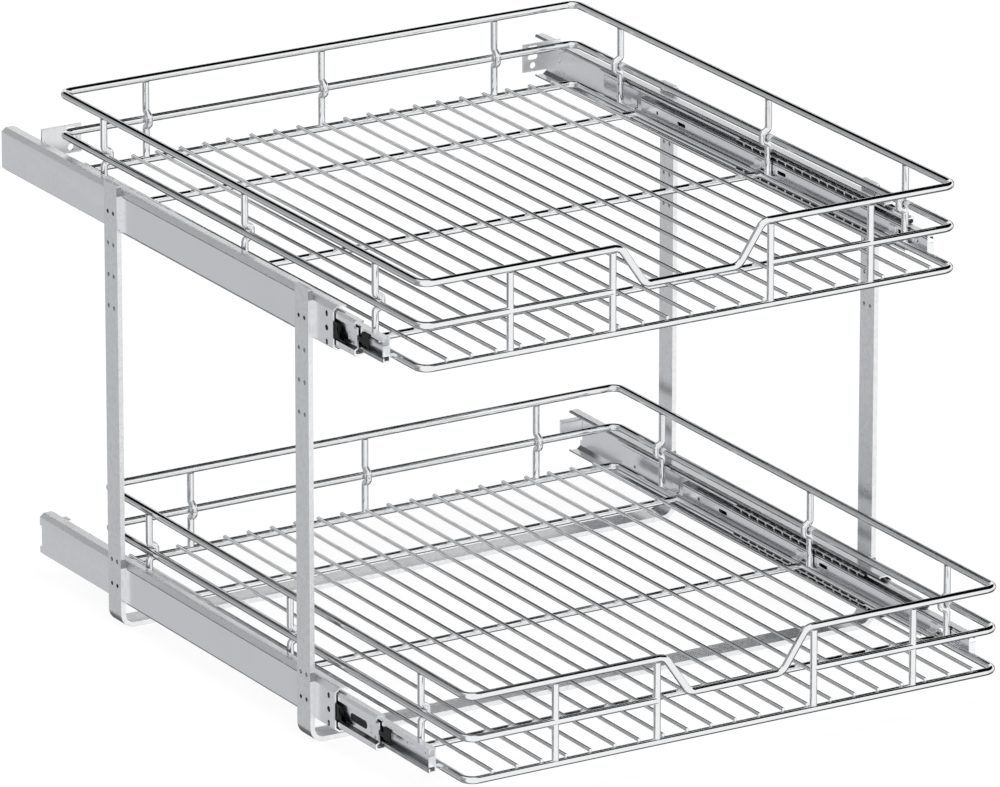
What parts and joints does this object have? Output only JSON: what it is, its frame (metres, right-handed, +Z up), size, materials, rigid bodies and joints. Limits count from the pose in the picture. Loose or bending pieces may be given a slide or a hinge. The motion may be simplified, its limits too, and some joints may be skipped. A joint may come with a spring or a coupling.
{
  "type": "pull out cabinet basket",
  "caption": "Wire baskets on two tiers that pull out of a kitchen cabinet on ball bearing slides, carried by flat bar frames that stand on the cabinet floor.",
  "frame": {"origin": "middle of the underside of the front crossbar, on the cabinet floor", "axes": "+X across to the right as seen from the front, -Y the way the baskets pull out, +Z up"},
  "size_m": [0.5062, 0.6895, 0.4031],
  "materials": {
    "frame_steel": "satin zinc plate",
    "rail_steel": "satin zinc plate",
    "bracket_steel": "satin zinc plate",
    "dark_plate": "satin, dark",
    "chrome_wire": "polished chrome plate",
    "cage_steel": "matt black",
    "black_plastic": "moulded, satin",
    "clear_plastic": "milky, smooth"
  },
  "bodies": {
    "frame": {"front_frame": "frame_steel", "rear_frame": "frame_steel", "seat_tabs": "dark_plate", "outer_rail_upper_left": "rail_steel", "outer_rail_upper_right": "rail_steel", "outer_rail_lower_left": "rail_steel", "outer_rail_lower_right": "rail_steel", "rear_bracket_left": "bracket_steel", "rear_bracket_right": "bracket_steel", "rear_clip_left": "bracket_steel", "rear_clip_right": "bracket_steel", "front_bumper_upper_left": "black_plastic", "front_bumper_upper_right": "black_plastic", "front_bumper_lower_left": "black_plastic", "front_bumper_lower_right": "black_plastic"},
    "upper_basket": {"inner_rail_upper_left": "rail_steel", "inner_rail_upper_right": "rail_steel", "top_rim_upper": "chrome_wire", "middle_ring_upper": "chrome_wire", "bottom_ring_upper": "chrome_wire", "floor_wires_upper": "chrome_wire", "cross_wires_upper": "chrome_wire", "wall_posts_upper": "chrome_wire", "front_posts_upper": "chrome_wire", "rail_hooks_upper": "rail_steel"},
    "upper_middle_rails": {"middle_rail_upper_left": "rail_steel", "middle_rail_upper_right": "rail_steel", "slot_insert_upper_left": "black_plastic", "slot_insert_upper_right": "black_plastic", "middle_bumper_upper_left": "black_plastic", "middle_bumper_upper_right": "black_plastic", "release_lever_upper_left": "clear_plastic", "release_lever_upper_right": "clear_plastic"},
    "upper_outer_cages": {"outer_cage_upper_left": "cage_steel", "outer_cage_upper_right": "cage_steel"},
    "upper_inner_cages": {"inner_cage_upper_left": "cage_steel", "inner_cage_upper_right": "cage_steel"},
    "lower_basket": {"inner_rail_lower_left": "rail_steel", "inner_rail_lower_right": "rail_steel", "top_rim_lower": "chrome_wire", "middle_ring_lower": "chrome_wire", "bottom_ring_lower": "chrome_wire", "floor_wires_lower": "chrome_wire", "cross_wires_lower": "chrome_wire", "wall_posts_lower": "chrome_wire", "front_posts_lower": "chrome_wire", "rail_hooks_lower": "rail_steel"},
    "lower_middle_rails": {"middle_rail_lower_left": "rail_steel", "middle_rail_lower_right": "rail_steel", "slot_insert_lower_left": "black_plastic", "slot_insert_lower_right": "black_plastic", "middle_bumper_lower_left": "black_plastic", "middle_bumper_lower_right": "black_plastic", "release_lever_lower_left": "clear_plastic", "release_lever_lower_right": "clear_plastic"},
    "lower_outer_cages": {"outer_cage_lower_left": "cage_steel", "outer_cage_lower_right": "cage_steel"},
    "lower_inner_cages": {"inner_cage_lower_left": "cage_steel", "inner_cage_lower_right": "cage_steel"}
  },
  "joints": [
    {"name": "upper_basket_slide", "type": "slide", "parent": "frame", "child": "upper_basket", "axis": [0, -1, 0], "range_m": [-0.0628, 0.3872]},
    {"name": "upper_middle_rails_slide", "type": "slide", "parent": "frame", "child": "upper_middle_rails", "axis": [0, -1, 0], "range_m": [-0.02836, 0.17434]},
    {"name": "upper_outer_cages_slide", "type": "slide", "parent": "frame", "child": "upper_outer_cages", "axis": [0, -1, 0], "range_m": [-0.01423, 0.08722]},
    {"name": "upper_inner_cages_slide", "type": "slide", "parent": "frame", "child": "upper_inner_cages", "axis": [0, -1, 0], "range_m": [-0.04563, 0.28082]},
    {"name": "lower_basket_slide", "type": "slide", "parent": "frame", "child": "lower_basket", "axis": [0, -1, 0], "range_m": [-0.1283, 0.3217]},
    {"name": "lower_middle_rails_slide", "type": "slide", "parent": "frame", "child": "lower_middle_rails", "axis": [0, -1, 0], "range_m": [-0.05783, 0.14486]},
    {"name": "lower_outer_cages_slide", "type": "slide", "parent": "frame", "child": "lower_outer_cages", "axis": [0, -1, 0], "range_m": [-0.02897, 0.07248]},
    {"name": "lower_inner_cages_slide", "type": "slide", "parent": "frame", "child": "lower_inner_cages", "axis": [0, -1, 0], "range_m": [-0.09312, 0.23333]}
  ],
  "couplings": [
    {"joint": "upper_middle_rails_slide", "follows": "upper_basket_slide", "ratio": 0.45},
    {"joint": "upper_outer_cages_slide", "follows": "upper_basket_slide", "ratio": 0.225},
    {"joint": "upper_inner_cages_slide", "follows": "upper_basket_slide", "ratio": 0.725},
    {"joint": "lower_middle_rails_slide", "follows": "lower_basket_slide", "ratio": 0.45},
    {"joint": "lower_outer_cages_slide", "follows": "lower_basket_slide", "ratio": 0.225},
    {"joint": "lower_inner_cages_slide", "follows": "lower_basket_slide", "ratio": 0.725}
  ]
}
